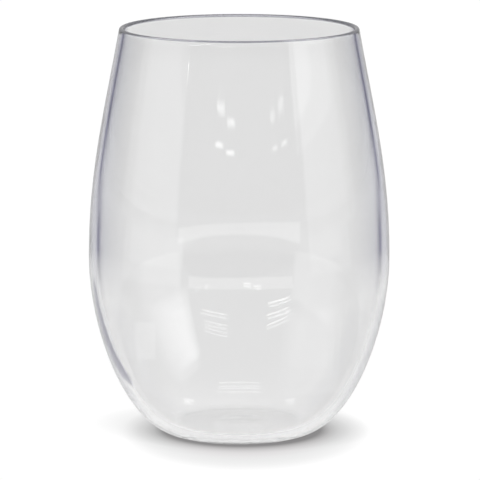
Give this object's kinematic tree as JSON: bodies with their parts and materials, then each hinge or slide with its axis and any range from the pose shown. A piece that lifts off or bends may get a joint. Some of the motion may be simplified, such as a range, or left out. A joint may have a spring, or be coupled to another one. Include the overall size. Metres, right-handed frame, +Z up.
{
  "type": "drinking tumbler",
  "caption": "Clear plastic stemless tumbler: a seamless egg-shaped bowl that narrows to a rounded lip and stands on a flat foot, for serving cold drinks.",
  "frame": {"origin": "centre of the foot, on the surface that the tumbler stands on", "axes": "+Z up along the axis of the bowl, towards the mouth; X and Y are alike because the body is round"},
  "size_m": [0.089, 0.089, 0.121],
  "materials": {
    "clear_plastic": "clear and glossy, with a very faint cool tint at the edges"
  },
  "bodies": {
    "root": {"tumbler_body": "clear_plastic"}
  },
  "joints": []
}
